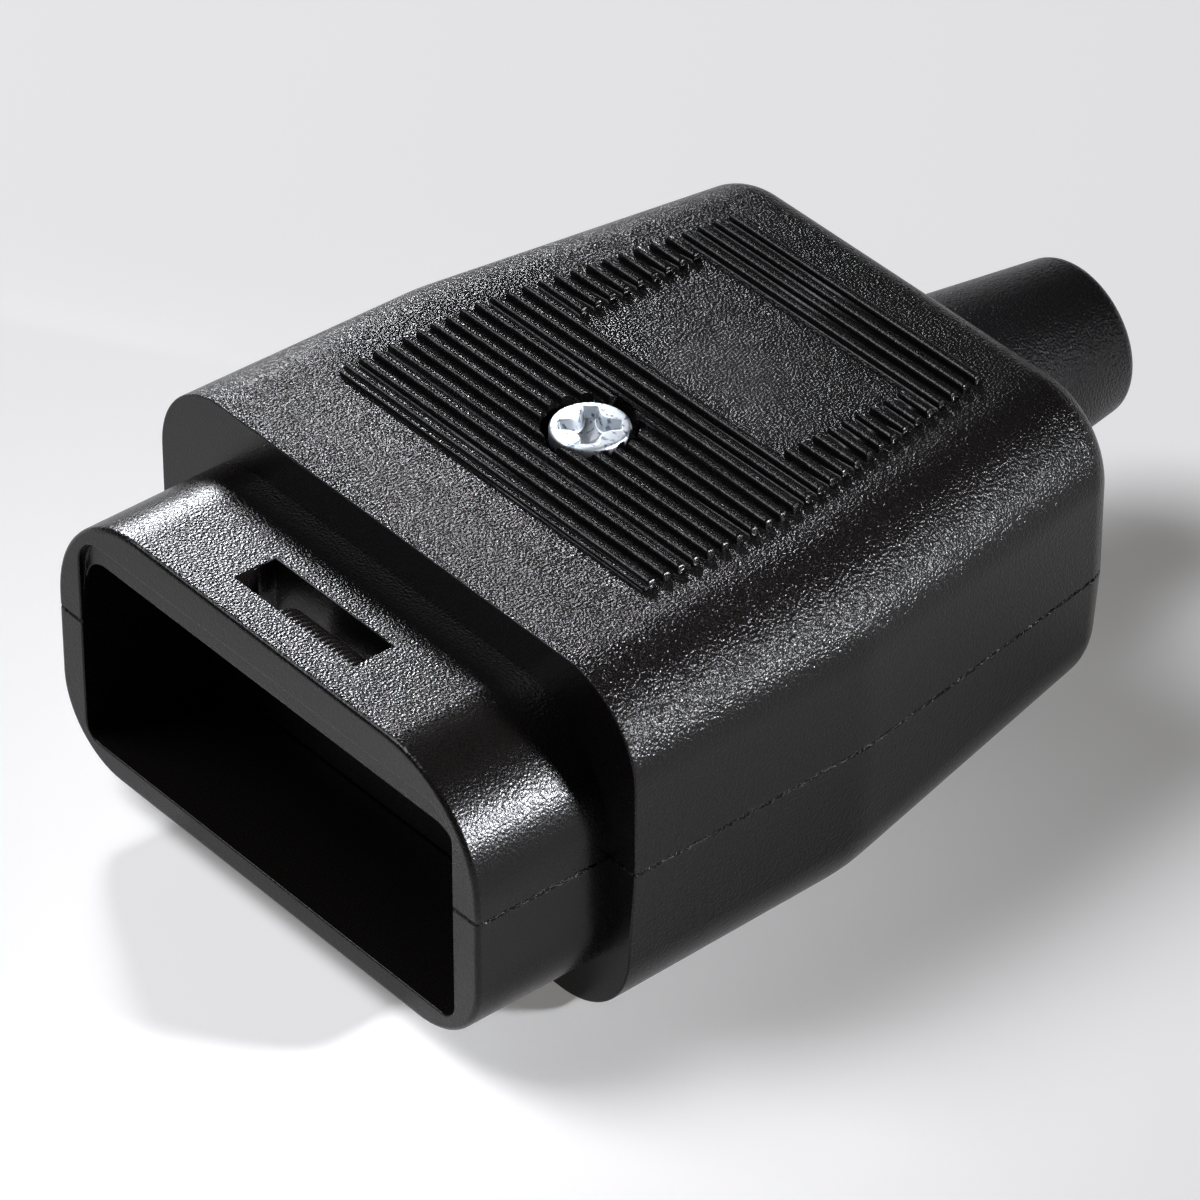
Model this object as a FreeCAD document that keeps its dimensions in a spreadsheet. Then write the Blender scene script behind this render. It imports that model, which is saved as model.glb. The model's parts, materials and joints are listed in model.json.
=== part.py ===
import FreeCAD, Part
import math
import os
import Sketcher
from FreeCAD import Vector

# Mains half of a three-pin cable coupler: two moulded shells, a contact carrier with three socket contacts,
# a cable sleeve, a cord grip and the screws that hold them. The hood faces -Y and the cable leaves along +Y.
# Every piece is drawn from the coupling shoulder (y = 0) and the joint between the shells (z = 0).

doc = FreeCAD.newDocument("cable_coupler")
sheet = doc.addObject("Spreadsheet::Sheet", "sizes")

driving_sizes = {
    # shells
    "body_length": 47.6,
    "body_width": 51.0,
    "front_taper": 0.4,
    "rear_taper": 4.3,
    "bend_from_front": 20.9,
    "bend_round": 16.0,
    "cover_height": 14.0,
    "base_height": 14.6,
    "base_draft": 1.2,
    "cover_round": 7.0,
    "base_round": 7.2,
    "rear_rise": 3.1,
    "rise_round": 30.0,
    "rear_round": 3.0,
    "shell_wall": 2.6,
    "roof_extra": 0.4,
    "seam_chamfer": 0.18,
    # hood
    "hood_length": 11.3,
    "hood_inset": 2.7,
    "hood_wall": 2.6,
    "hood_rise": 10.4,
    "hood_drop": 11.9,
    "hood_round": 9.2,
    "hood_foot_round": 6.3,
    "mouth_rise": 7.6,
    "mouth_drop": 9.9,
    "mouth_recess": 0.6,
    "mouth_round": 2.4,
    "mouth_foot_round": 1.4,
    "throat_rise": 5.6,
    "window_width": 12.6,
    "window_length": 3.4,
    "window_from_rim": 3.0,
    "ramp_width": 8.0,
    "ramp_depth": 0.15,
    "ramp_reach": 2.2,
    "ramp_fall": 1.6,
    # grip ribs
    "rib_height": 0.7,
    "rib_breadth": 0.75,
    "rib_pitch": 1.286,
    "first_rib": 8.9,
    "rib_margin": 5.7,
    "rib_inset": 8.9,
    "plinth_breadth": 0.4,
    "plinth_height": 0.35,
    "panel_width": 21.4,
    "panel_front": 25.4,
    "panel_length": 11.6,
    # cover screw
    "screw_from_front": 17.5,
    "cover_head_width": 5.7,
    "cover_head_height": 2.0,
    "cover_head_sink": 0.1,
    "counterbore_width": 7.0,
    "thread_width": 3.0,
    "boss_width": 9.0,
    "nut_across": 5.5,
    "nut_thickness": 2.4,
    # contacts and carrier
    "carrier_proud": 0.5,
    "boss_gap": 0.5,
    "flange_thickness": 2.5,
    "stop_thickness": 2.0,
    "contact_spacing": 12.0,
    "earth_drop": 3.6,
    "contact_outer": 6.4,
    "contact_bore": 4.0,
    "aperture": 4.8,
    "aperture_lip": 1.5,
    "terminal_width": 8.0,
    "terminal_length": 4.8,
    "terminal_height": 9.0,
    "wire_hole": 3.4,
    "wire_stop": 1.0,
    "small_head_width": 4.6,
    "small_head_height": 1.8,
    "terminal_screw_length": 4.0,
    "slot_breadth": 0.8,
    "slot_depth": 0.8,
    "screw_end": 1.0,
    "pan_fall": 0.5,
    "pan_bevel": 0.45,
    # cable sleeve and cord grip
    "sleeve_reach": 16.1,
    "sleeve_rise": 1.2,
    "sleeve_root": 16.2,
    "sleeve_tip": 12.1,
    "sleeve_neck": 14.0,
    "sleeve_flange_thickness": 2.4,
    "sleeve_tip_round": 1.2,
    "cable_width": 8.2,
    "grip_from_front": 33.0,
    "grip_spacing": 20.0,
    "grip_end": 4.5,
    "grip_breadth": 6.4,
    "grip_bite": 1.0,
    "grip_thickness": 4.0,
    "grip_post": 7.0,
    "grip_screw_length": 11.0,
    # fits
    "slip": 0.2,
    "thread_slack": 0.05,
    "overrun": 1.0,
}

derived_sizes = {
    "front_y": "=hood_length - (hood_length + body_length + sleeve_reach) / 2",
    "bend_width": "=body_width - 2 * front_taper",
    "rear_width": "=bend_width - 2 * rear_taper",
    "hood_width": "=body_width - 2 * hood_inset",
    "mouth_width": "=hood_width - 2 * hood_wall",
    "taper": "=rear_taper / (body_length - bend_from_front)",
    "floor": "=base_height - shell_wall",
    "rear_floor": "=base_height - rear_rise - shell_wall",
    "roof": "=cover_height - shell_wall - roof_extra",
    "rib_count": "=floor((body_length - rib_margin - first_rib - rib_breadth) / rib_pitch) + 1",
    "last_rib": "=first_rib + (rib_count - 1) * rib_pitch + rib_breadth",
    "rib_front_half": "=bend_width / 2 - rib_inset",
    "rib_rear_half": "=rib_front_half - taper * (last_rib - bend_from_front)",
    "screw_seat": "=cover_height + rib_height - cover_head_sink - cover_head_height",
    "carrier_back": "=screw_from_front - boss_width / 2 - boss_gap - terminal_length - slip",
    "carrier_length": "=carrier_back + carrier_proud",
    "terminal_middle": "=carrier_back + slip + terminal_length / 2",
    "terminal_head": "=terminal_length - slip",
    "stop_front": "=shell_wall + flange_thickness + 2 * slip",
    "sleeve_flange": "=2 * (min(roof - sleeve_rise; rear_floor + sleeve_rise) - 1.5 * slip)",
    "rise_angle": "=atan(rear_rise / (body_length - bend_from_front))",
    "crease_run": "=rise_round * tan(rise_angle / 2)",
    "grip_length": "=grip_spacing + 2 * grip_end",
    "grip_top": "=sleeve_rise + grip_thickness",
    "post_hole": "=grip_screw_length - grip_thickness + screw_end",
    "ramp_round": "=(ramp_reach * ramp_reach + ramp_fall * ramp_fall) / (2 * ramp_fall)",
}


def fill_sheet():
    rows = list(driving_sizes.items()) + list(derived_sizes.items())
    for row, (name, value) in enumerate(rows, start=1):
        sheet.set(f"A{row}", name)
        sheet.set(f"B{row}", str(value))
        sheet.setAlias(f"B{row}", name)
    doc.recompute()


fill_sheet()


def bound(text):
    # Turns the sheet's own names in a formula into references that other objects can read.
    out = text
    for name in sorted(list(driving_sizes) + list(derived_sizes), key=len, reverse=True):
        out = replace_word(out, name, f"sizes.{name}")
    return out


def replace_word(text, word, new):
    parts = []
    start = 0
    while True:
        at = text.find(word, start)
        if at < 0:
            parts.append(text[start:])
            return "".join(parts)
        end = at + len(word)
        before = text[at - 1] if at else " "
        after = text[end] if end < len(text) else " "
        whole = not (before.isalnum() or before in "_.") and not (after.isalnum() or after == "_")
        parts.append(text[start:at] + (new if whole else word))
        start = end


def value_of(text):
    return float(sheet.evalExpression(text))


def origin_feature(body, role):
    return next(f for f in body.Origin.OriginFeatures if f.Role == role)


def new_body(name, x="0", y="0", z="0"):
    body = doc.addObject("PartDesign::Body", name)
    body.Label = name
    body.setExpression("Placement.Base.x", bound(x))
    body.setExpression("Placement.Base.y", bound(f"front_y + ({y})"))
    body.setExpression("Placement.Base.z", bound(f"base_height + ({z})"))
    return body


def new_sketch(body, name, plane, offset):
    sketch = body.newObject("Sketcher::SketchObject", name)
    sketch.AttachmentSupport = [(origin_feature(body, plane + "_Plane"), "")]
    sketch.MapMode = "FlatFace"
    if offset:
        sketch.setExpression("AttachmentOffset.Base.z", bound(offset))
    return sketch


def arc_between(start, end, radius, forwards):
    # The lesser arc between two corners, anticlockwise from the first or, if not forwards, from the second.
    if not forwards:
        start, end = end, start
    chord = end - start
    inwards = Vector(-chord.y, chord.x, 0).normalize()
    centre = (start + end) / 2 + inwards * math.sqrt(radius ** 2 - chord.Length ** 2 / 4)
    first = math.atan2(start.y - centre.y, start.x - centre.x)
    last = math.atan2(end.y - centre.y, end.x - centre.x)
    if last < first:
        last += 2 * math.pi
    return Part.ArcOfCircle(Part.Circle(centre, Vector(0, 0, 1), radius), first, last)


def polygon(body, name, plane, corners, offset=None, rounds=None):
    # A closed outline whose corners are formulas of the sheet's sizes.
    # Rounds gives the radius of each side that is an arc, by its number; a hollow side has one below zero.
    sketch = new_sketch(body, name, plane, offset)
    rounds = rounds or {}
    spots = [Vector(value_of(x), value_of(y), 0) for x, y in corners]
    following = spots[1:] + spots[:1]
    count = len(spots)
    anticlockwise = sum(a.x * b.y - b.x * a.y for a, b in zip(spots, following)) > 0
    ends = [(1, 2)] * count
    for i in range(count):
        if i in rounds:
            radius = value_of(rounds[i])
            forwards = anticlockwise == (radius > 0)
            ends[i] = (1, 2) if forwards else (2, 1)
            sketch.addGeometry(arc_between(spots[i], following[i], abs(radius), forwards))
        else:
            sketch.addGeometry(Part.LineSegment(spots[i], following[i]))
    for i in range(count):
        after = (i + 1) % count
        sketch.addConstraint(Sketcher.Constraint("Coincident", i, ends[i][1], after, ends[after][0]))
    for i, (x, y) in enumerate(corners):
        for kind, formula, amount in (("DistanceX", x, spots[i].x), ("DistanceY", y, spots[i].y)):
            index = sketch.addConstraint(Sketcher.Constraint(kind, i, ends[i][0], amount))
            sketch.setExpression(f"Constraints[{index}]", bound(formula))
    for i, radius in rounds.items():
        index = sketch.addConstraint(Sketcher.Constraint("Radius", i, abs(value_of(radius))))
        sketch.setExpression(f"Constraints[{index}]", bound(f"abs({radius})"))
    return sketch


def tab(body, name, half, far, radius, offset=None):
    # Outline across the coupler that stands on the seam and has two round corners at its far side.
    turn = f"({far}) - ({radius})" if value_of(far) > 0 else f"({far}) + ({radius})"
    flat = f"({half}) - ({radius})"
    right = [(half, "0"), (half, turn), (flat, far)]
    left = [(f"-({x})", z) for x, z in reversed(right)]
    return polygon(body, name, "XZ", right + left, offset, {1: radius, 3: radius})


def rectangle(body, name, plane, x0, y0, x1, y1, offset=None):
    return polygon(body, name, plane, [(x0, y0), (x1, y0), (x1, y1), (x0, y1)], offset)


def circle(body, name, plane, x, y, width, offset=None):
    sketch = new_sketch(body, name, plane, offset)
    centre = Vector(value_of(x), value_of(y), 0)
    sketch.addGeometry(Part.Circle(centre, Vector(0, 0, 1), value_of(width) / 2))
    for kind, formula, amount in (("DistanceX", x, centre.x), ("DistanceY", y, centre.y)):
        index = sketch.addConstraint(Sketcher.Constraint(kind, 0, 3, amount))
        sketch.setExpression(f"Constraints[{index}]", bound(formula))
    index = sketch.addConstraint(Sketcher.Constraint("Diameter", 0, value_of(width)))
    sketch.setExpression(f"Constraints[{index}]", bound(width))
    return sketch


def extrude(body, kind, sketch, length, backwards=False):
    feature = body.newObject(f"PartDesign::{kind}", f"{kind}_{sketch.Name}")
    feature.Profile = sketch
    feature.setExpression("Length", bound(length))
    feature.Reversed = backwards
    doc.recompute()
    return feature


def pad(body, sketch, length, backwards=False):
    return extrude(body, "Pad", sketch, length, backwards)


def pocket(body, sketch, length, backwards=False):
    before = body.Shape.Volume
    feature = extrude(body, "Pocket", sketch, length, backwards)
    if body.Shape.Volume > before - 1e-6:
        raise RuntimeError(f"{feature.Name} cuts nothing")
    return feature


def revolve(body, sketch, axis):
    feature = body.newObject("PartDesign::Revolution", f"Revolution_{sketch.Name}")
    feature.Profile = sketch
    feature.ReferenceAxis = (sketch, [axis])
    feature.Angle = 360
    doc.recompute()
    return feature


def round_edges(body, name, radius, chosen, kind="Fillet"):
    base = body.Tip
    names = [f"Edge{i}" for i, edge in enumerate(base.Shape.Edges, start=1) if chosen(edge)]
    if not names:
        raise RuntimeError(f"{name} finds no edges")
    feature = body.newObject(f"PartDesign::{kind}", name)
    feature.Base = (base, names)
    feature.setExpression("Radius" if kind == "Fillet" else "Size", bound(radius))
    doc.recompute()
    return feature


def near(a, b):
    return abs(a - b) < 0.01


def middle(edge):
    return edge.valueAt((edge.FirstParameter + edge.LastParameter) / 2)


def level_edge(edge, z):
    box = edge.BoundBox
    return near(box.ZMin, z) and near(box.ZMax, z)


def plan_outline(inset, front, half_shrink="0"):
    # Six corners in plan: front part with nearly straight sides, bend, and the part that narrows to the rear.
    front_half = f"body_width / 2 - {inset} - {half_shrink}"
    bend_half = f"bend_width / 2 - {inset} - {half_shrink}"
    rear_half = f"rear_width / 2 - {inset} - {half_shrink}"
    rear = f"body_length - {inset}"
    right = [(front_half, front), (bend_half, "bend_from_front"), (rear_half, rear)]
    left = [(f"-({x})", y) for x, y in reversed(right)]
    return right + left


def outer_skin(body, height, rounding):
    # Rounds that both shells share: the bend in plan, the long side edges, then the rear wall's outline.
    length = value_of("body_length")
    bend = value_of("bend_from_front")
    sway = value_of("base_draft")

    def bend_edge(edge):
        return abs(middle(edge).y - bend) < sway and edge.BoundBox.ZLength > height / 2

    def side_edge(edge):
        box = edge.BoundBox
        return abs(middle(edge).z) > height / 2 and box.YLength > box.XLength and box.YLength > box.ZLength

    def rear_edge(edge):
        box = edge.BoundBox
        return near(box.YMin, length) and near(box.YMax, length) and not level_edge(edge, 0)

    round_edges(body, body.Name + "_bend", "bend_round", bend_edge)
    round_edges(body, body.Name + "_long_edges", rounding, side_edge)
    round_edges(body, body.Name + "_rear_edges", "rear_round", rear_edge)


def hood(body, far, mouth_far, throat_far, outer_round, inner_round):
    # The hood stands out from the shoulder: large rounds at its outer corners, small ones in its mouth.
    corner = f"min({outer_round}; abs({far}) - 2 * seam_chamfer)"
    pad(body, tab(body, body.Name + "_hood", "hood_width / 2", far, corner), "hood_length")
    round_edges(body, body.Name + "_seam", "seam_chamfer", lambda edge: level_edge(edge, 0), "Chamfer")
    throat = tab(body, body.Name + "_throat", "mouth_width / 2", throat_far, inner_round, "hood_length")
    pocket(body, throat, "hood_length + shell_wall")
    if mouth_far != throat_far:
        mouth = tab(body, body.Name + "_mouth", "mouth_width / 2", mouth_far, inner_round, "hood_length")
        pocket(body, mouth, "mouth_recess")


def sleeve_way(body, name):
    # The sleeve's neck sits in the rear wall; the way to it is as wide as the neck.
    seat = circle(body, name + "_sleeve_way", "XZ", "0", "sleeve_rise", "sleeve_neck + 2 * slip",
                  "-(body_length - shell_wall - overrun)")
    pocket(body, seat, "shell_wall + 2 * overrun")


def upper_shell():
    body = new_body("upper_shell")
    pad(body, polygon(body, "cover_plan", "XY", plan_outline("0", "0")), "cover_height")
    outer_skin(body, value_of("cover_height"), "cover_round")
    hood(body, "hood_rise", "mouth_rise", "throat_rise", "hood_round", "mouth_round")
    room = polygon(body, "cover_room", "XY", plan_outline("shell_wall", "shell_wall"))
    pocket(body, room, "roof", True)
    boss = circle(body, "cover_boss", "XY", "0", "screw_from_front", "boss_width")
    pad(body, boss, "roof")
    sleeve_way(body, "cover")
    half = "(sleeve_neck / 2 + slip)"
    slot = rectangle(body, "cover_sleeve_slot", "XZ", f"-{half}", "0", half, "sleeve_rise",
                     "-(body_length - shell_wall - overrun)")
    pocket(body, slot, "shell_wall + 2 * overrun")
    latch_window(body)
    grip_ribs(body)
    bore = circle(body, "cover_counterbore", "XY", "0", "screw_from_front", "counterbore_width", "screw_seat")
    pocket(body, bore, "cover_height + rib_height - screw_seat + overrun", True)
    way = circle(body, "cover_screw_way", "XY", "0", "screw_from_front", "thread_width + 2 * slip",
                 "-overrun")
    pocket(body, way, "cover_height + overrun", True)
    return body


def latch_window(body):
    # Window through the hood's top wall, with a rounded ramp that falls away from its front edge.
    front = "window_from_rim - hood_length"
    side = "window_width / 2"
    window = rectangle(body, "latch_window", "XY", f"-{side}", front, side, f"{front} + window_length",
                       "throat_rise - overrun")
    pocket(body, window, "hood_rise - throat_rise + 2 * overrun", True)
    crest = "hood_rise - ramp_depth"
    back = f"{front} + ramp_reach"
    corners = [(front, "throat_rise"), (back, "throat_rise"), (back, f"{crest} - ramp_fall"), (front, crest)]
    ramp = polygon(body, "latch_ramp", "YZ", corners, side, {2: "ramp_round"})
    pad(body, ramp, "ramp_width", True)


def grip_ribs(body):
    # One raised block, cut by a row of grooves, with a bare panel let into it and a low plinth before it.
    right = [("rib_front_half", "first_rib"), ("rib_front_half", "bend_from_front"),
             ("rib_rear_half", "last_rib")]
    left = [(f"-({x})", y) for x, y in reversed(right)]
    block = polygon(body, "rib_block", "XY", right + left, "cover_height")
    pad(body, block, "rib_height")
    groove = rectangle(body, "rib_groove", "XY", "-bend_width / 2", "first_rib + rib_breadth",
                       "bend_width / 2", "first_rib + rib_pitch", "cover_height")
    cut = pocket(body, groove, "rib_height + overrun", True)
    row = body.newObject("PartDesign::LinearPattern", "rib_row")
    row.Originals = [cut]
    row.Direction = (origin_feature(body, "Y_Axis"), [""])
    row.setExpression("Length", bound("(rib_count - 2) * rib_pitch"))
    row.setExpression("Occurrences", bound("rib_count - 1"))
    body.Tip = row
    doc.recompute()
    panel = rectangle(body, "bare_panel", "XY", "-panel_width / 2", "panel_front", "panel_width / 2",
                      "panel_front + panel_length", "cover_height")
    pocket(body, panel, "rib_height + overrun", True)
    plinth = rectangle(body, "rib_plinth", "XY", "-rib_front_half", "first_rib - plinth_breadth",
                       "rib_front_half", "first_rib", "cover_height")
    pad(body, plinth, "plinth_height")


def lean_sides(body, name, faces_of, angle):
    # Draft that keeps the outline at the seam and draws the chosen walls in below it.
    base = body.Tip
    before = base.Shape.Volume
    lean = body.newObject("PartDesign::Draft", name)
    lean.Base = (base, [f"Face{i}" for i, face in enumerate(base.Shape.Faces, start=1) if faces_of(face)])
    lean.NeutralPlane = (origin_feature(body, "XY_Plane"), [""])
    lean.setExpression("Angle", bound(angle))
    lean.Reversed = True
    doc.recompute()
    if lean.Shape.Volume > before:
        raise RuntimeError(f"{name} leans outwards")


def lower_shell():
    body = new_body("lower_shell")
    pad(body, polygon(body, "base_plan", "XY", plan_outline("0", "0")), "base_height", True)
    side_wall = math.cos(math.radians(45))
    lean_sides(body, "base_lean", lambda face: abs(face.normalAt(0, 0).x) > side_wall,
               "atan(base_draft / base_height)")
    under = [("bend_from_front - crease_run", "-base_height"), ("body_length", "-base_height"),
             ("body_length", "-base_height + rear_rise"),
             ("bend_from_front + crease_run * cos(rise_angle)",
              "-base_height + crease_run * sin(rise_angle)")]
    rise = pocket(body, polygon(body, "base_rise", "YZ", under, rounds={3: "-rise_round"}), "body_width")
    rise.Midplane = True
    doc.recompute()
    outer_skin(body, value_of("base_height - rear_rise"), "base_round")
    hood(body, "-hood_drop", "-mouth_drop", "-mouth_drop", "hood_foot_round", "mouth_foot_round")
    room = polygon(body, "base_room", "XY", plan_outline("shell_wall", "shell_wall", "base_draft"))
    pocket(body, room, "rear_floor")
    side = "bend_width / 2 - shell_wall - base_draft"
    well = rectangle(body, "base_well", "XY", f"-({side})", "shell_wall", side, "bend_from_front")
    pocket(body, well, "floor")
    boss = circle(body, "base_boss", "XY", "0", "screw_from_front", "boss_width", "-floor")
    pad(body, boss, "floor")
    sleeve_way(body, "base")
    nut_pocket(body)
    shank = circle(body, "base_screw_way", "XY", "0", "screw_from_front", "thread_width + 2 * slip")
    pocket(body, shank, "floor - screw_end")
    stop_ribs(body)
    cord_saddle(body)
    return body


def cord_saddle(body):
    # Web with a groove for the cord, between two posts that take the grip's screws.
    web = rectangle(body, "saddle", "XY", "-grip_spacing / 2", "grip_from_front - grip_breadth / 4",
                    "grip_spacing / 2", "grip_from_front + grip_breadth / 4", "-rear_floor")
    pad(body, web, "rear_floor + sleeve_rise - grip_bite")
    groove = circle(body, "saddle_groove", "XZ", "0", "sleeve_rise", "cable_width",
                    "-grip_from_front - grip_breadth")
    pocket(body, groove, "2 * grip_breadth", True)
    for side, x in (("left", "-grip_spacing / 2"), ("right", "grip_spacing / 2")):
        post = circle(body, side + "_post", "XY", x, "grip_from_front", "grip_post", "-rear_floor")
        pad(body, post, "rear_floor + sleeve_rise")
        hole = circle(body, side + "_post_hole", "XY", x, "grip_from_front",
                      "thread_width + 2 * thread_slack", "sleeve_rise")
        pocket(body, hole, "post_hole")


def nut_pocket(body):
    # Six-sided pocket in the boss, open at the seam, deep enough for the nut.
    ring = hexagon("nut_across / 2 + slip", "screw_from_front")
    pocket(body, polygon(body, "nut_pocket", "XY", ring), "nut_thickness + slip")


def hexagon(flat, y):
    corner = f"({flat}) / cos(30)"
    upper = f"{y} + ({flat})"
    lower = f"{y} - ({flat})"
    return [(corner, y), (f"{corner} / 2", upper), (f"-{corner} / 2", upper), (f"-{corner}", y),
            (f"-{corner} / 2", lower), (f"{corner} / 2", lower)]


def stop_ribs(body):
    # Two upright ribs behind the carrier's flange keep it against the front wall.
    for side, sign in (("left", "-"), ("right", "")):
        inner = f"{sign}(mouth_width / 2 + slip)"
        outer = f"{sign}(body_width / 2 - shell_wall)"
        rib = rectangle(body, side + "_stop", "XY", inner, "stop_front", outer, "stop_front + stop_thickness",
                        "-floor")
        pad(body, rib, "floor - 2 * overrun")


def contact_places():
    # Line and neutral lie to the sides, earth in the middle and lower.
    return {"line": ("-contact_spacing", "0"), "earth": ("0", "-earth_drop"),
            "neutral": ("contact_spacing", "0")}


def contact_carrier():
    # Moulded block that closes the hood, held by a flange behind the front wall, with three apertures.
    body = new_body("contact_carrier")
    blocks = {"upper_block": ("throat_rise - slip", "mouth_round"),
              "lower_block": ("slip - mouth_drop", "mouth_foot_round")}
    for name, (far, corner) in blocks.items():
        block = tab(body, name, "mouth_width / 2 - slip", far, corner, "carrier_proud")
        pad(body, block, "carrier_length", True)
    flange_side = "bend_width / 2 - shell_wall - base_draft - slip"
    flange = rectangle(body, "carrier_flange", "XZ", f"-({flange_side})", "-floor", flange_side,
                       "throat_rise - slip", "-(shell_wall + slip)")
    pad(body, flange, "flange_thickness", True)
    for name, (x, z) in contact_places().items():
        seat = circle(body, name + "_seat", "XZ", x, z, "contact_outer + 2 * slip",
                      "carrier_proud - aperture_lip")
        pocket(body, seat, "carrier_length")
        mouth = circle(body, name + "_aperture", "XZ", x, z, "aperture", "carrier_proud + overrun")
        pocket(body, mouth, "aperture_lip + 2 * overrun")
    return body


def contact(name, x, z):
    # Brass socket tube in the carrier, and a terminal block behind it, with a wire hole and a screw hole.
    body = new_body(name + "_contact", x, "0", z)
    tube_front = "aperture_lip + slip - carrier_proud"
    block = rectangle(body, name + "_block", "XZ", "-terminal_width / 2", "-terminal_height / 2",
                      "terminal_width / 2", "terminal_height / 2", "-(carrier_back + slip)")
    pad(body, block, "terminal_length", True)
    tube = circle(body, name + "_tube", "XZ", "0", "0", "contact_outer", f"-({tube_front})")
    pad(body, tube, f"carrier_back + slip - ({tube_front})", True)
    bore = circle(body, name + "_bore", "XZ", "0", "0", "contact_bore", f"-({tube_front})")
    pocket(body, bore, "carrier_length - aperture_lip - slip")
    wire = circle(body, name + "_wire", "XZ", "0", "0", "wire_hole",
                  "-(carrier_back + slip + terminal_length)")
    pocket(body, wire, "terminal_length - wire_stop", True)
    thread = circle(body, name + "_thread", "XY", "0", "terminal_middle", "thread_width + 2 * thread_slack",
                    "terminal_height / 2")
    pocket(body, thread, "terminal_height / 2")
    return body


def headed_screw(name, x, y, z, head_width, head_height, length, recess):
    # Turned profile about its own axis, with its seat at the body's origin: a pan head has a cross recess and
    # a bevelled top, a cheese head is a plain drum with a slot.
    body = new_body(name, x, y, z)
    side = f"{head_width} / 2"
    shank = "thread_width / 2"
    outline = [("0", f"-({length})"), (shank, f"-({length})"), (shank, "0"), (side, "0")]
    if recess == "cross":
        arm = f"{side} - pan_bevel"
        outline += [(side, f"{head_height} - pan_fall"), (arm, head_height)]
        across = [("slot_breadth / 2", arm), (arm, "slot_breadth / 2")]
    else:
        outline += [(side, head_height)]
        across = [("slot_breadth / 2", head_width)]
    revolve(body, polygon(body, name + "_profile", "XZ", outline + [("0", head_height)]), "V_Axis")
    for index, (half_x, half_y) in enumerate(across):
        slot = rectangle(body, f"{name}_slot_{index}", "XY", f"-({half_x})", f"-({half_y})", half_x, half_y,
                         f"{head_height} - slot_depth")
        pocket(body, slot, "slot_depth + overrun", True)
    return body


def cover_nut():
    body = new_body("cover_nut", "0", "screw_from_front", "-nut_thickness - slip / 2")
    pad(body, polygon(body, "nut_outline", "XY", hexagon("nut_across / 2", "0")), "nut_thickness")
    bore = circle(body, "nut_bore", "XY", "0", "0", "thread_width + 2 * thread_slack")
    pocket(body, bore, "nut_thickness", True)
    return body


def cord_grip_bar():
    # Arched bar that presses the cord on to the saddle, screwed to the two posts.
    body = new_body("cord_grip_bar", "0", "grip_from_front", "sleeve_rise")
    plate = rectangle(body, "grip_plate", "XY", "-grip_length / 2", "-grip_breadth / 2", "grip_length / 2",
                      "grip_breadth / 2")
    pad(body, plate, "grip_thickness")
    arch = circle(body, "grip_arch", "XZ", "0", "-grip_bite", "cable_width", "-grip_breadth")
    pocket(body, arch, "2 * grip_breadth", True)
    for side, x in (("left", "-grip_spacing / 2"), ("right", "grip_spacing / 2")):
        hole = circle(body, side + "_grip_hole", "XY", x, "0", "thread_width + 2 * slip")
        pocket(body, hole, "grip_thickness", True)
    return body


def cable_sleeve():
    # Turned profile about the cable's axis: inner flange, neck in the rear wall, tapered tube outside.
    body = new_body("cable_sleeve", "0", "0", "sleeve_rise")
    inner = "body_length - shell_wall - slip"
    root = "body_length + slip"
    tip = "body_length + sleeve_reach"
    profile = [(f"{inner} - sleeve_flange_thickness", "cable_width / 2"),
               (f"{inner} - sleeve_flange_thickness", "sleeve_flange / 2"), (inner, "sleeve_flange / 2"),
               (inner, "sleeve_neck / 2"), (root, "sleeve_neck / 2"), (root, "sleeve_root / 2"),
               (tip, "sleeve_tip / 2"), (tip, "cable_width / 2")]
    revolve(body, polygon(body, "sleeve_profile", "YZ", profile), "H_Axis")
    end = value_of(tip)
    half = value_of("sleeve_tip / 2")
    round_edges(body, "sleeve_lip", "sleeve_tip_round",
                lambda edge: near(edge.BoundBox.YMin, end) and near(edge.BoundBox.XMax, half))
    return body


upper_shell()
lower_shell()
contact_carrier()
for name, (x, z) in contact_places().items():
    contact(name, x, z)
    headed_screw(name + "_terminal_screw", x, "terminal_middle", f"{z} + terminal_height / 2",
                 "terminal_head", "small_head_height", "terminal_screw_length", "slot")
headed_screw("cover_screw", "0", "screw_from_front", "screw_seat", "cover_head_width", "cover_head_height",
             "screw_seat + nut_thickness + screw_end", "cross")
cover_nut()
cord_grip_bar()
for side, x in (("left", "-grip_spacing / 2"), ("right", "grip_spacing / 2")):
    headed_screw(side + "_grip_screw", x, "grip_from_front", "grip_top", "small_head_width",
                 "small_head_height", "grip_screw_length", "slot")
cable_sleeve()
doc.recompute()

failed = [obj.Name for obj in doc.Objects if "Invalid" in obj.State or "Error" in obj.State]
if failed:
    raise RuntimeError("failed objects: " + ", ".join(failed))

os.makedirs("parts", exist_ok=True)
for body in [obj for obj in doc.Objects if obj.TypeId == "PartDesign::Body"]:
    if body.Shape.isNull() or not body.Shape.isValid():
        raise RuntimeError(f"{body.Label} has no valid shape")
    body.Shape.exportStep(f"parts/{body.Label}.step")
    box = body.Shape.BoundBox
    print(f"{body.Label}: {len(body.Shape.Solids)} solid, {body.Shape.Volume:.0f} mm3,"
          f" {box.XLength:.1f} by {box.YLength:.1f} by {box.ZLength:.1f} mm")
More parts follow.
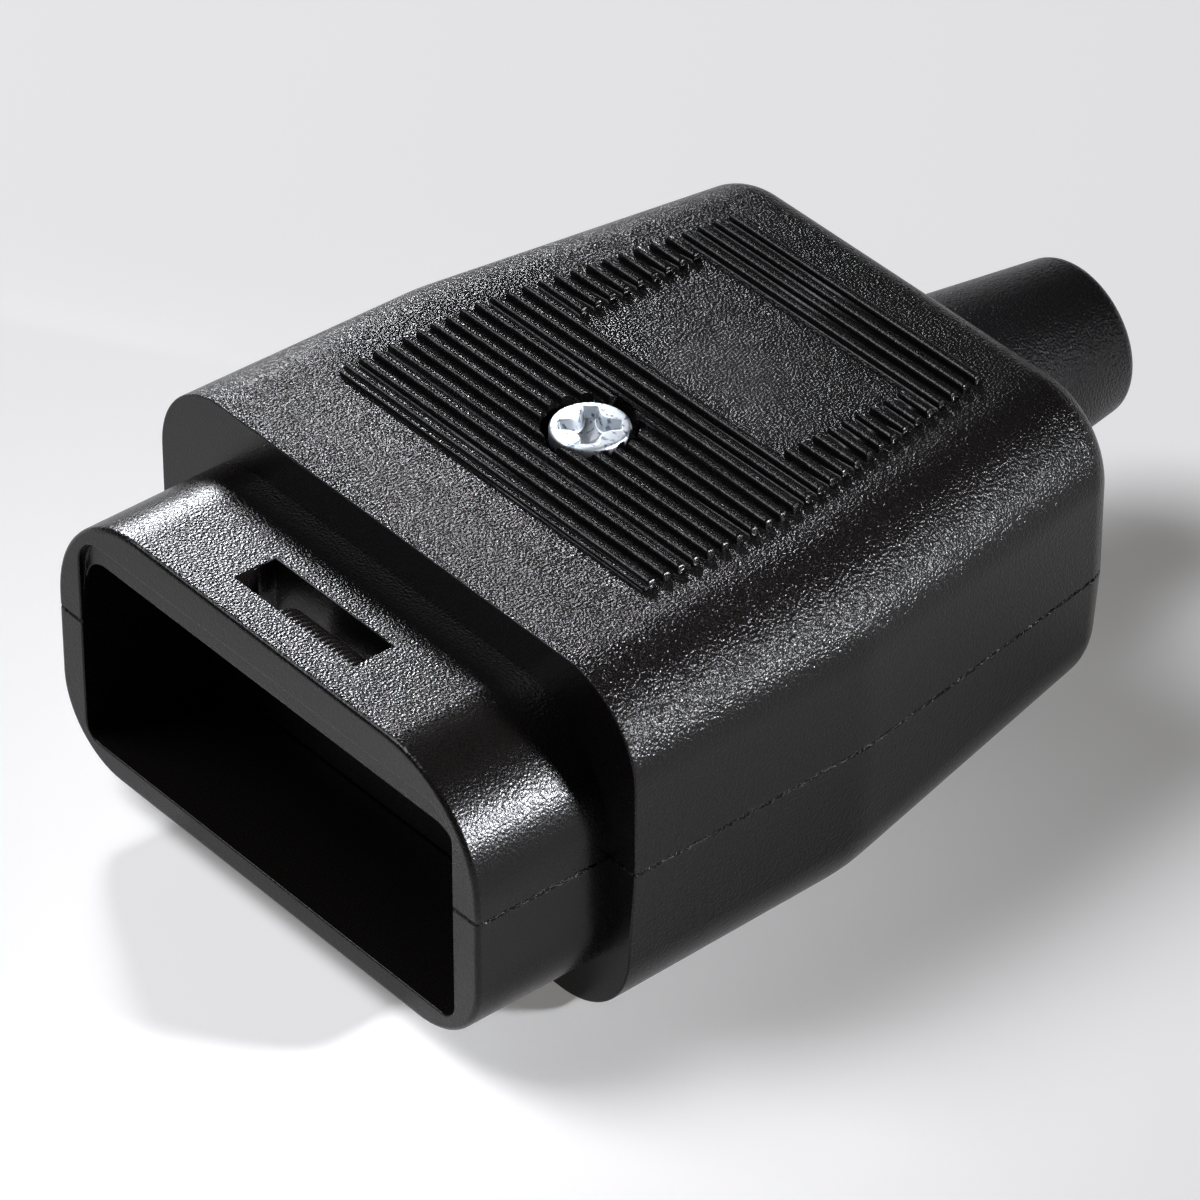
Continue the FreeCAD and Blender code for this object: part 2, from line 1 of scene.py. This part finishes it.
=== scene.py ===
import json
from math import radians
import bmesh
import bpy
import numpy as np
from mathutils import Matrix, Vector


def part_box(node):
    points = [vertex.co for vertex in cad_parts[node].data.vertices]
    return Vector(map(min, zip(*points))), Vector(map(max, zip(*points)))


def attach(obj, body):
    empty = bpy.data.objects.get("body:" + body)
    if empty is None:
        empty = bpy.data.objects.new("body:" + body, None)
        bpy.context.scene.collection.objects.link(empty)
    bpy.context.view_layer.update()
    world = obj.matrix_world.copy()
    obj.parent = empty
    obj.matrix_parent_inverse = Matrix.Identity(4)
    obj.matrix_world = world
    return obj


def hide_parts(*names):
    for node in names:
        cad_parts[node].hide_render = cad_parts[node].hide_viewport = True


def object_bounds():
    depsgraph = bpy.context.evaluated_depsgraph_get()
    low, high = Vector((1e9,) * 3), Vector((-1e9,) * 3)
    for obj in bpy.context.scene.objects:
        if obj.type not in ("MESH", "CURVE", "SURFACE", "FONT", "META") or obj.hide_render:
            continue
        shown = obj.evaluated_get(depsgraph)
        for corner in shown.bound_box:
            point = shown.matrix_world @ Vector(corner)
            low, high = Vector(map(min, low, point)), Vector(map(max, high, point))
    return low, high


# One half of a three-pin cable coupler: black moulded shells, cable sleeve, contacts and screws.

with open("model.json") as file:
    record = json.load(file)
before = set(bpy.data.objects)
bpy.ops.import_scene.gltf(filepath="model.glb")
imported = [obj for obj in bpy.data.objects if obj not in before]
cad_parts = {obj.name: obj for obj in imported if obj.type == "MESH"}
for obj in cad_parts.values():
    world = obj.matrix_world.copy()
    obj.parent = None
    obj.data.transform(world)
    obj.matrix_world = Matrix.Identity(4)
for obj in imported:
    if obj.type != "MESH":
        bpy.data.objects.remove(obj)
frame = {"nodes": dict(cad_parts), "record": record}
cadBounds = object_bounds()
nodes = frame["nodes"]
mm = 0.001  # the scene is in metres
scene = bpy.context.scene
scene.view_settings.view_transform = "Standard"
print("frame loaded:", len(nodes), "nodes")


def linearColour(hexText):
    # sRGB hex value to linear red, green, blue
    parts = np.array([int(hexText[i:i + 2], 16) for i in (1, 3, 5)]) / 255
    linear = np.where(parts <= 0.04045, parts / 12.92, ((parts + 0.055) / 1.055) ** 2.4)
    return (*linear.tolist(), 1.0)


def addNode(tree, kind, settings=None, links=None):
    # one node with its settings (attributes or sockets) and the outputs that feed its sockets
    node = tree.nodes.new(kind)
    for name, value in (settings or {}).items():
        if isinstance(name, int) or name in node.inputs:
            node.inputs[name].default_value = value
        else:
            setattr(node, name, value)
    for name, output in (links or {}).items():
        tree.links.new(output, node.inputs[name])
    return node


def newMaterial(name):
    material = bpy.data.materials.new(name)
    material.use_nodes = True
    tree = material.node_tree
    tree.nodes.clear()
    return material, tree


# camera at the place the photograph was taken from: place and nearest sight in mm, angles in degrees
cameraView = {"place": (324.53, -280.71, 336.37), "azimuth": 49.94, "elevation": 37.27,
              "lens": 230.64, "sensor": 36.0, "nearest": 10.0}


def makeCamera():
    data = bpy.data.cameras.new("photoCamera")
    data.lens = cameraView["lens"]
    data.sensor_width = cameraView["sensor"]
    data.clip_start = cameraView["nearest"] * mm
    camera = bpy.data.objects.new("photoCamera", data)
    camera.location = Vector(cameraView["place"]) * mm
    camera.rotation_euler = (radians(90 - cameraView["elevation"]), 0, radians(cameraView["azimuth"]))
    scene.collection.objects.link(camera)
    scene.camera = camera


makeCamera()

# studio: a pale floor, a dim even world and soft boxes: place, the point it faces, width and height, all in metres,
# and the spread of its light in degrees; the two side boxes carry grids that keep their light on the object
# the floor's gap is in mm, and its lift is the share of white added where the eye or a mirror sees it
studio = {"floorColour": "#f4f2f0", "floorHalf": 4.0, "floorGap": 0.05, "floorRoughness": 0.9, "floorShine": 0.1,
          "paperLift": 0.2, "worldColour": "#ffffff", "worldStrength": 0.05, "lampColour": "#f6f8ff"}
softBoxes = {
    "leftBox": {"place": (-0.25, 0.1, 0.155), "faces": (-0.018, -0.024, 0.035), "size": (0.065, 0.055), "watts": 0.015,
                "spread": 15},
    "rightBox": {"place": (0.254, 0.14, 0.137), "faces": (0.022, -0.02, 0.036), "size": (0.075, 0.05), "watts": 0.036,
                 "spread": 12},
    "upperBox": {"place": (-0.76, -0.68, 1.48), "faces": (0, 0, 0), "size": (0.9, 0.9), "watts": 27.0, "spread": 180},
}


def makeFloor():
    # a square of paper a hair's breadth below the object's foot, so that the two never share a plane
    half = studio["floorHalf"]
    spots = np.array([[-1, -1, 0], [1, -1, 0], [1, 1, 0], [-1, 1, 0]]) * half
    spots[:, 2] = -studio["floorGap"] * mm
    mesh = bpy.data.meshes.new("paperFloor")
    mesh.from_pydata(spots.tolist(), [], [(0, 1, 2, 3)])
    floor = bpy.data.objects.new("paperFloor", mesh)
    scene.collection.objects.link(floor)
    # background paper: matt, nearly white; the eye and mirrors see it a little paler than the lamps alone make it
    material, tree = newMaterial("backgroundPaper")
    shader = addNode(tree, "ShaderNodeBsdfPrincipled", {"Base Color": linearColour(studio["floorColour"]),
                                                        "Roughness": studio["floorRoughness"],
                                                        "Specular IOR Level": studio["floorShine"]})
    ray = addNode(tree, "ShaderNodeLightPath")
    mirrored = addNode(tree, "ShaderNodeMath", {"operation": "MAXIMUM"},
                       {0: ray.outputs["Is Glossy Ray"], 1: ray.outputs["Is Transmission Ray"]})
    seen = addNode(tree, "ShaderNodeMath", {"operation": "MAXIMUM"},
                   {0: ray.outputs["Is Camera Ray"], 1: mirrored.outputs[0]})
    lift = addNode(tree, "ShaderNodeMath", {"operation": "MULTIPLY", 1: studio["paperLift"]}, {0: seen.outputs[0]})
    glow = addNode(tree, "ShaderNodeEmission", {"Color": linearColour(studio["floorColour"])},
                   {"Strength": lift.outputs[0]})
    both = addNode(tree, "ShaderNodeAddShader", links={0: shader.outputs[0], 1: glow.outputs[0]})
    addNode(tree, "ShaderNodeOutputMaterial", links={"Surface": both.outputs[0]})
    mesh.materials.append(material)


def makeLights():
    world = bpy.data.worlds.new("studioWorld")
    world.use_nodes = True
    scene.world = world
    background = world.node_tree.nodes["Background"]
    background.inputs["Color"].default_value = linearColour(studio["worldColour"])
    background.inputs["Strength"].default_value = studio["worldStrength"]
    for name, box in softBoxes.items():
        data = bpy.data.lights.new(name, "AREA")
        data.shape = "RECTANGLE"
        data.size, data.size_y = box["size"]
        data.energy = box["watts"]
        data.spread = radians(box["spread"])
        data.color = linearColour(studio["lampColour"])[:3]
        light = bpy.data.objects.new(name, data)
        light.location = box["place"]
        away = light.location - Vector(box["faces"])
        light.rotation_euler = away.to_track_quat("Z", "Y").to_euler()
        scene.collection.objects.link(light)


makeFloor()
makeLights()
print("studio ready")

# black moulded nylon from a spark-eroded tool: fine pebbles that glint, and satin coupling faces
# pebble and grit are the widths of the two sizes of grain and depth the pebbles' height, all in mm
# the pits of the grain swallow much of the reflection, so the shine is below that of a polished plastic
blackMoulding = {"colour": "#0b0908", "roughness": 0.27, "shine": 0.2, "pebble": 0.2, "grit": 0.1, "gritShare": 0.4,
                 "depth": 0.1}
# black soft vinyl of the cable sleeve: the same grain, a shade greyer, with a broader sheen than the nylon
softVinyl = {"colour": "#161415", "roughness": 0.33, "shine": 0.32, "pebble": 0.2, "grit": 0.1, "gritShare": 0.4,
             "depth": 0.1}
# plain black moulded nylon of the inner pieces: an even satin with hardly any grain
plainMoulding = {"colour": "#0d0d0e", "roughness": 0.32, "shine": 0.3, "pebble": 0.3, "grit": 0.12, "gritShare": 0.3,
                 "depth": 0.012}
# every plastic here: its refraction, and how far the grit swings the roughness over the middle of its range
plasticGloss = {"ior": 1.54, "gritLow": 0.3, "gritHigh": 0.7, "swing": 0.06}


def mouldedPlastic(name, finish, graded):
    material, tree = newMaterial(name)
    place = addNode(tree, "ShaderNodeTexCoord")
    pebbles = addNode(tree, "ShaderNodeTexNoise", {"Scale": 1 / (finish["pebble"] * mm), "Detail": 0.0},
                      {"Vector": place.outputs["Object"]})
    grit = addNode(tree, "ShaderNodeTexNoise", {"Scale": 1 / (finish["grit"] * mm), "Detail": 0.0},
                   {"Vector": place.outputs["Object"]})
    height = addNode(tree, "ShaderNodeMath", {"operation": "MULTIPLY_ADD", 1: finish["gritShare"]},
                     {0: grit.outputs["Fac"], 2: pebbles.outputs["Fac"]})
    bump = addNode(tree, "ShaderNodeBump", {"Distance": finish["depth"] * mm}, {"Height": height.outputs[0]})
    if graded:
        # each face carries how deep the tool's grain was there
        grain = addNode(tree, "ShaderNodeAttribute", {"attribute_name": "grain"})
        tree.links.new(grain.outputs["Fac"], bump.inputs["Strength"])
    gloss = addNode(tree, "ShaderNodeMapRange", {"From Min": plasticGloss["gritLow"],
                                                 "From Max": plasticGloss["gritHigh"],
                                                 "To Min": finish["roughness"] - plasticGloss["swing"],
                                                 "To Max": finish["roughness"] + plasticGloss["swing"]},
                    {"Value": grit.outputs["Fac"]})
    shader = addNode(tree, "ShaderNodeBsdfPrincipled", {"Base Color": linearColour(finish["colour"]),
                                                        "IOR": plasticGloss["ior"],
                                                        "Specular IOR Level": finish["shine"]},
                     {"Roughness": gloss.outputs[0], "Normal": bump.outputs[0]})
    addNode(tree, "ShaderNodeOutputMaterial", links={"Surface": shader.outputs[0]})
    return material


# zinc-plated steel: pale blue-white, clouded by the plating bath, with blue-grey spots where the zinc is thin
# cloud is the size of the patches and depth their height in mm; a stretch below 1 drags them out along that axis
zincPlate = {"colour": "#c8cdd1", "worn": "#66717e", "roughness": 0.44, "cloud": 0.4, "stretch": (1, 1, 1),
             "wornFrom": 0.55, "wornFull": 0.66, "depth": 0.02}
# drawn brass: warm yellow with fine lines along the drawing direction, a little browner where it has tarnished
drawnBrass = {"colour": "#c7a052", "worn": "#8a6a30", "roughness": 0.3, "cloud": 0.3, "stretch": (1, 0.06, 1),
              "wornFrom": 0.5, "wornFull": 0.8, "depth": 0.01}
# every metal here: finer layers in its clouds, the swing of its roughness and the strength of its bump
metalGloss = {"layers": 4.0, "swing": 0.1, "bump": 0.6}


def cloudedMetal(name, finish):
    material, tree = newMaterial(name)
    place = addNode(tree, "ShaderNodeTexCoord")
    dragged = addNode(tree, "ShaderNodeMapping", {"Scale": finish["stretch"]}, {"Vector": place.outputs["Object"]})
    cloud = addNode(tree, "ShaderNodeTexNoise", {"Scale": 1 / (finish["cloud"] * mm),
                                                 "Detail": metalGloss["layers"]},
                    {"Vector": dragged.outputs[0]})
    wear = addNode(tree, "ShaderNodeMapRange", {"From Min": finish["wornFrom"], "From Max": finish["wornFull"]},
                   {"Value": cloud.outputs["Fac"]})
    tint = addNode(tree, "ShaderNodeMix", {"data_type": "RGBA", 6: linearColour(finish["colour"]),
                                           7: linearColour(finish["worn"])}, {0: wear.outputs[0]})
    gloss = addNode(tree, "ShaderNodeMapRange", {"To Min": finish["roughness"] - metalGloss["swing"],
                                                 "To Max": finish["roughness"] + metalGloss["swing"]},
                    {"Value": cloud.outputs["Fac"]})
    bump = addNode(tree, "ShaderNodeBump", {"Distance": finish["depth"] * mm, "Strength": metalGloss["bump"]},
                   {"Height": cloud.outputs["Fac"]})
    shader = addNode(tree, "ShaderNodeBsdfPrincipled", {"Metallic": 1.0},
                     {"Base Color": tint.outputs[2], "Roughness": gloss.outputs[0], "Normal": bump.outputs[0]})
    addNode(tree, "ShaderNodeOutputMaterial", links={"Surface": shader.outputs[0]})
    return material


shellPlastic = mouldedPlastic("sparkErodedNylon", blackMoulding, True)
sleevePlastic = mouldedPlastic("softVinyl", softVinyl, True)
innerPlastic = mouldedPlastic("satinNylon", plainMoulding, False)
steel = cloudedMetal("zincPlatedSteel", zincPlate)
brass = cloudedMetal("drawnBrass", drawnBrass)
innerFinishes = {"contact_carrier": innerPlastic, "cord_grip_bar": innerPlastic, "cover_nut": steel,
                 "left_grip_screw": steel, "right_grip_screw": steel}
for pole in ("line", "neutral", "earth"):
    innerFinishes[pole + "_contact"] = brass
    innerFinishes[pole + "_terminal_screw"] = steel
for nodeName, finish in innerFinishes.items():
    for slot in nodes[nodeName].material_slots:
        slot.material = finish
print("materials ready")


def placePiece(piece, slotName, material, *replaced):
    scene.collection.objects.link(piece)
    piece.data.materials.clear()
    piece.data.materials.append(material)
    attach(piece, "root")
    if replaced:
        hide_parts(*replaced)


poleMerge = 0.0001  # mm within which points of a grid are one


def gridPiece(name, points):
    # points is an array rows by columns by 3; each row closes on itself, and every four neighbours make a face
    rows, columns = points.shape[:2]
    number = np.arange(rows * columns).reshape(rows, columns)
    right = np.roll(number, -1, axis=1)
    quads = np.stack([number[:-1], right[:-1], right[1:], number[1:]], axis=-1)
    mesh = bpy.data.meshes.new(name)
    mesh.from_pydata(points.reshape(-1, 3).tolist(), [], quads.reshape(-1, 4).tolist())
    # rows that shrink to a point become poles
    work = bmesh.new()
    work.from_mesh(mesh)
    bmesh.ops.remove_doubles(work, verts=work.verts, dist=poleMerge * mm)
    bmesh.ops.recalc_face_normals(work, faces=work.faces)
    work.to_mesh(mesh)
    work.free()
    mesh.shade_smooth()
    return bpy.data.objects.new(name, mesh)


def setFaceValue(mesh, name, values):
    attribute = mesh.attributes.new(name, "FLOAT", "FACE")
    attribute.data.foreach_set("value", values.astype(np.float32))


# shells with the small rounds that every moulded edge has; lengths in mm, angles in degrees, grain as a share
softEdges = {"cover_moulding": {"node": "upper_shell", "slot": "black_moulding", "plastic": shellPlastic},
             "base_moulding": {"node": "lower_shell", "slot": "black_moulding", "plastic": shellPlastic},
             "sleeve_moulding": {"node": "cable_sleeve", "slot": "black_sleeve", "plastic": sleevePlastic}}
mouldedEdge = {"round": 0.14, "segments": 3, "crisp": 35, "merge": 0.002, "flat": 0.4}
ribEdge = {"round": 0.3, "below": 0.08, "foot": 28.65, "bend": 12, "grain": 0.25}
rimEdge = {"round": 0.4, "half": 20.21, "bottom": 4.69, "top": 22.21, "within": 0.02}  # just outside the mouth
boreEdge = {"reach": 4.0}  # the screw's bore all but touches a rib, so no round fits there
seamEdge = {"level": 14.6, "within": 0.3, "lean": (0.3, 0.95), "grain": 1.8}
satinFaces = {"facing": -0.9, "grain": 0.12, "mouthReach": 2.5}
grainFade = {"from": 0.1, "to": 0.65, "least": 0.3, "noseBack": -26.3, "nose": 0.36}


def softEdgedShell(name, shell):
    # the solid's own faces, merged, with a narrow round along its crisp outer edges
    mesh = nodes[shell["node"]].data.copy()
    mesh.name = name
    work = bmesh.new()
    work.from_mesh(mesh)
    bmesh.ops.remove_doubles(work, verts=work.verts, dist=mouldedEdge["merge"] * mm)
    bmesh.ops.dissolve_limit(work, angle_limit=radians(mouldedEdge["flat"]), verts=work.verts, edges=work.edges)
    # a slight bend within the end of a rib is straightened, so that its round runs through
    ribSpots = [vert for vert in work.verts if vert.co.z > ribEdge["foot"] * mm]
    ribLines = [edge for edge in work.edges if max(vert.co.z for vert in edge.verts) > ribEdge["foot"] * mm]
    bmesh.ops.dissolve_limit(work, angle_limit=radians(ribEdge["bend"]), verts=ribSpots, edges=ribLines)
    work.to_mesh(mesh)
    work.free()
    mesh.shade_smooth()
    setFaceValue(mesh, "grain", grainOf(mesh, shell["slot"]))
    setRounds(mesh)
    piece = bpy.data.objects.new(name, mesh)
    bevel = piece.modifiers.new("mouldedEdge", "BEVEL")
    bevel.width = rimEdge["round"] * mm
    bevel.segments = mouldedEdge["segments"]
    bevel.limit_method = "WEIGHT"
    bevel.use_clamp_overlap = False
    flat = piece.modifiers.new("flatFaces", "WEIGHTED_NORMAL")  # large faces stay flat to the eye
    flat.keep_sharp = True
    placePiece(piece, shell["slot"], shell["plastic"], shell["node"])


def grainOf(mesh, slotName):
    # full grain on the outer skin, less on upright sides, nose and ribs, and little on the mating faces
    count = len(mesh.polygons)
    if slotName == "black_sleeve":
        return np.ones(count)
    centre = np.empty(count * 3, np.float32)
    normal = np.empty(count * 3, np.float32)
    mesh.polygons.foreach_get("center", centre)
    mesh.polygons.foreach_get("normal", normal)
    centre = centre.reshape(-1, 3)
    normal = normal.reshape(-1, 3)
    rise = np.clip((normal[:, 2] - grainFade["from"]) / (grainFade["to"] - grainFade["from"]), 0, 1)
    grain = grainFade["least"] + (1 - grainFade["least"]) * rise
    grain = np.where(centre[:, 1] < grainFade["noseBack"] * mm, grain * grainFade["nose"], grain)
    grain = np.where(centre[:, 2] > ribEdge["foot"] * mm, ribEdge["grain"], grain)
    opening = next(o for o in frame["record"]["physics"]["openings"] if o["name"] == "hood_cavity")
    low, high = (np.array(corner) for corner in opening["box_m"])
    reach = satinFaces["mouthReach"] * mm
    # faces near the cavity that look towards its long axis
    near = np.all((centre > low - reach) & (centre < high + reach), axis=1)
    inMouth = near & (np.sum(normal[:, ::2] * (centre - (low + high) / 2)[:, ::2], axis=1) < 0)
    forward = normal[:, 1] < satinFaces["facing"]
    grain = np.where(inMouth | forward, satinFaces["grain"], grain)
    # the narrow slopes along the seam are ragged
    lean = np.abs(normal[:, 2])
    slope = (lean > seamEdge["lean"][0]) & (lean < seamEdge["lean"][1])
    atSeam = np.abs(centre[:, 2] - seamEdge["level"] * mm) < seamEdge["within"] * mm
    return np.where(atSeam & slope, seamEdge["grain"], grain)


def setRounds(mesh):
    # share of the bevel's width for each edge: nothing on gentle turns, inner corners, seam and bore, most on rim
    work = bmesh.new()
    work.from_mesh(mesh)
    turn = np.array([edge.calc_face_angle(0.0) for edge in work.edges])
    outer = np.array([edge.is_convex for edge in work.edges])
    work.free()
    ends = np.empty(len(mesh.edges) * 2, np.int32)
    mesh.edges.foreach_get("vertices", ends)
    spots = np.empty(len(mesh.vertices) * 3, np.float32)
    mesh.vertices.foreach_get("co", spots)
    x, y, z = np.moveaxis(spots.reshape(-1, 3)[ends.reshape(-1, 2)], 2, 0)
    ribTop = z.min(axis=1) > cadBounds[1][2] - ribEdge["below"] * mm
    outside = (np.abs(x) > rimEdge["half"] * mm) | (z > rimEdge["top"] * mm) | (z < rimEdge["bottom"] * mm)
    rim = np.all(outside & (y < cadBounds[0][1] + rimEdge["within"] * mm), axis=1)
    seam = np.all(np.abs(z - seamEdge["level"] * mm) < seamEdge["within"] * mm, axis=1)
    screw = np.mean(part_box("cover_screw"), axis=0)
    bore = np.all(np.hypot(x - screw[0], y - screw[1]) < boreEdge["reach"] * mm, axis=1)
    rounds = np.where(rim, rimEdge["round"], np.where(ribTop, ribEdge["round"], mouldedEdge["round"]))
    crisp = turn > radians(mouldedEdge["crisp"])
    plain = seam | bore | ~outer
    share = rounds / rimEdge["round"] * (crisp & ~plain)
    attribute = mesh.attributes.new("bevel_weight_edge", "FLOAT", "EDGE")
    attribute.data.foreach_set("value", share.astype(np.float32))
    mesh.edges.foreach_set("use_edge_sharp", crisp & plain)


for shellName, shell in softEdges.items():
    softEdgedShell(shellName, shell)
print("shells rounded")

# pan-head machine screw with a cross recess turned as the photograph shows it; lengths in mm
coverScrew = {"edgeRound": 0.3, "crown": 0.1, "armHalf": 0.72, "taper": 0.06, "armReach": 2.2, "inner": 1.25,
              "wall": 0.26, "centreDepth": 1.5, "endDepth": 0.85, "turn": 49.9, "pitch": 0.5, "threadDepth": 0.3,
              "headHeight": 2.0, "shank": 1.5, "around": 256, "topRows": 90, "edgeRows": 8, "threadRows": 160}


def crossRecess(along, across, form):
    # depth below the head's top: two arms joined by a smooth minimum of their distances, deepest in the middle
    # an arm's half width lessens by the taper for each mm outwards
    along, across = np.abs(along), np.abs(across)
    first = np.maximum(along - form["armReach"], across + along * form["taper"] - form["armHalf"])
    second = np.maximum(across - form["armReach"], along + across * form["taper"] - form["armHalf"])
    blend = np.clip(0.5 + 0.5 * (second - first) / form["inner"], 0, 1)
    edge = second * (1 - blend) + first * blend - form["inner"] * blend * (1 - blend)
    inside = np.clip(-edge / form["wall"], 0, 1)
    radius = np.hypot(along, across)
    floor = form["centreDepth"] + (form["endDepth"] - form["centreDepth"]) * np.clip(radius / form["armReach"], 0, 1)
    return floor * inside * inside * (3 - 2 * inside)


def makeCoverScrew(form):
    low, high = (np.array(corner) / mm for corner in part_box("cover_screw"))
    middle = (low + high) / 2
    headRadius = (high - low)[0] / 2
    top = high[2]
    seat = top - form["headHeight"]
    shank = form["shank"]
    angle = np.linspace(0, 2 * np.pi, form["around"], endpoint=False)
    # profile from the middle of the top, over the round edge, down the side and along the threaded shank
    flat = np.linspace(0, headRadius - form["edgeRound"], form["topRows"])
    bow = np.linspace(0, np.pi / 2, form["edgeRows"] + 1)[1:]
    drop = np.linspace(0, 1, form["threadRows"])
    radius = np.concatenate([flat, flat[-1] + form["edgeRound"] * np.sin(bow), [headRadius, shank],
                             np.full(drop.size, shank), [0]])
    shoulder = top - form["crown"]
    level = np.concatenate([top - form["crown"] * (flat / flat[-1]) ** 2,
                            shoulder - form["edgeRound"] * (1 - np.cos(bow)), [seat, seat],
                            seat + (low[2] - seat) * drop, [low[2]]])
    radius = np.repeat(radius[:, None], angle.size, axis=1)
    level = np.repeat(level[:, None], angle.size, axis=1)
    turned = angle[None, :] - radians(form["turn"])
    level[:flat.size] -= crossRecess(radius[:flat.size] * np.cos(turned), radius[:flat.size] * np.sin(turned), form)
    # thread: a triangle wave that climbs one pitch for each turn
    turnRows = slice(flat.size + bow.size + 2, -1)
    climb = (level[turnRows] / form["pitch"] - angle[None, :] / (2 * np.pi)) % 1
    radius[turnRows] -= form["threadDepth"] * np.abs(2 * climb - 1)
    points = np.stack([middle[0] + radius * np.cos(angle), middle[1] + radius * np.sin(angle), level], axis=-1) * mm
    screw = gridPiece("cross_recess_screw", points)
    placePiece(screw, "zinc_steel", steel, "cover_screw")


makeCoverScrew(coverScrew)
print("cover screw made")

# ridges on the ramp in the hood's window; the ramp's own sizes, then the ridges, in mm
latchRidges = {"right": 6.3, "width": 8.0, "front": 3.0, "crest": 4.45, "reach": 2.2, "fall": 1.6,
               "pitch": 0.5, "height": 0.08, "root": 0.4, "alongSteps": 25, "ridgeSteps": 10}


def makeLatchRidges(form):
    # a closed bar: the upper side follows the ramp's arc with a row of rounded ridges on it, the lower side is sunk
    bend = (form["reach"] ** 2 + form["fall"] ** 2) / (2 * form["fall"])
    back = np.linspace(0, form["reach"], form["alongSteps"])
    arc = np.sqrt(bend ** 2 - back ** 2) - bend
    count = int(round(form["width"] / form["pitch"]))
    across = np.linspace(0, form["width"], count * form["ridgeSteps"] + 1)
    ridge = form["height"] * np.abs(np.sin(np.pi * across / form["pitch"]))
    loop = np.concatenate([across, across[::-1]])
    rise = np.concatenate([ridge, np.full(across.size, -form["root"])])
    rimY = cadBounds[0][1] / mm
    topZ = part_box("upper_shell")[1][2] / mm
    x = np.repeat((form["right"] - loop)[None, :], back.size, axis=0)
    y = np.repeat((rimY + form["front"] + back)[:, None], loop.size, axis=1)
    z = topZ - form["crest"] + arc[:, None] + rise[None, :]
    points = np.stack([x, y, z], axis=-1) * mm
    ends = [np.repeat(points[i].mean(axis=0)[None, None, :], loop.size, axis=1) for i in (0, -1)]
    piece = gridPiece("latch_ridges", np.concatenate([ends[0], points, ends[1]]))
    setFaceValue(piece.data, "grain", np.zeros(len(piece.data.polygons)))
    placePiece(piece, "black_moulding", shellPlastic)


makeLatchRidges(latchRidges)
print("latch ridges made")
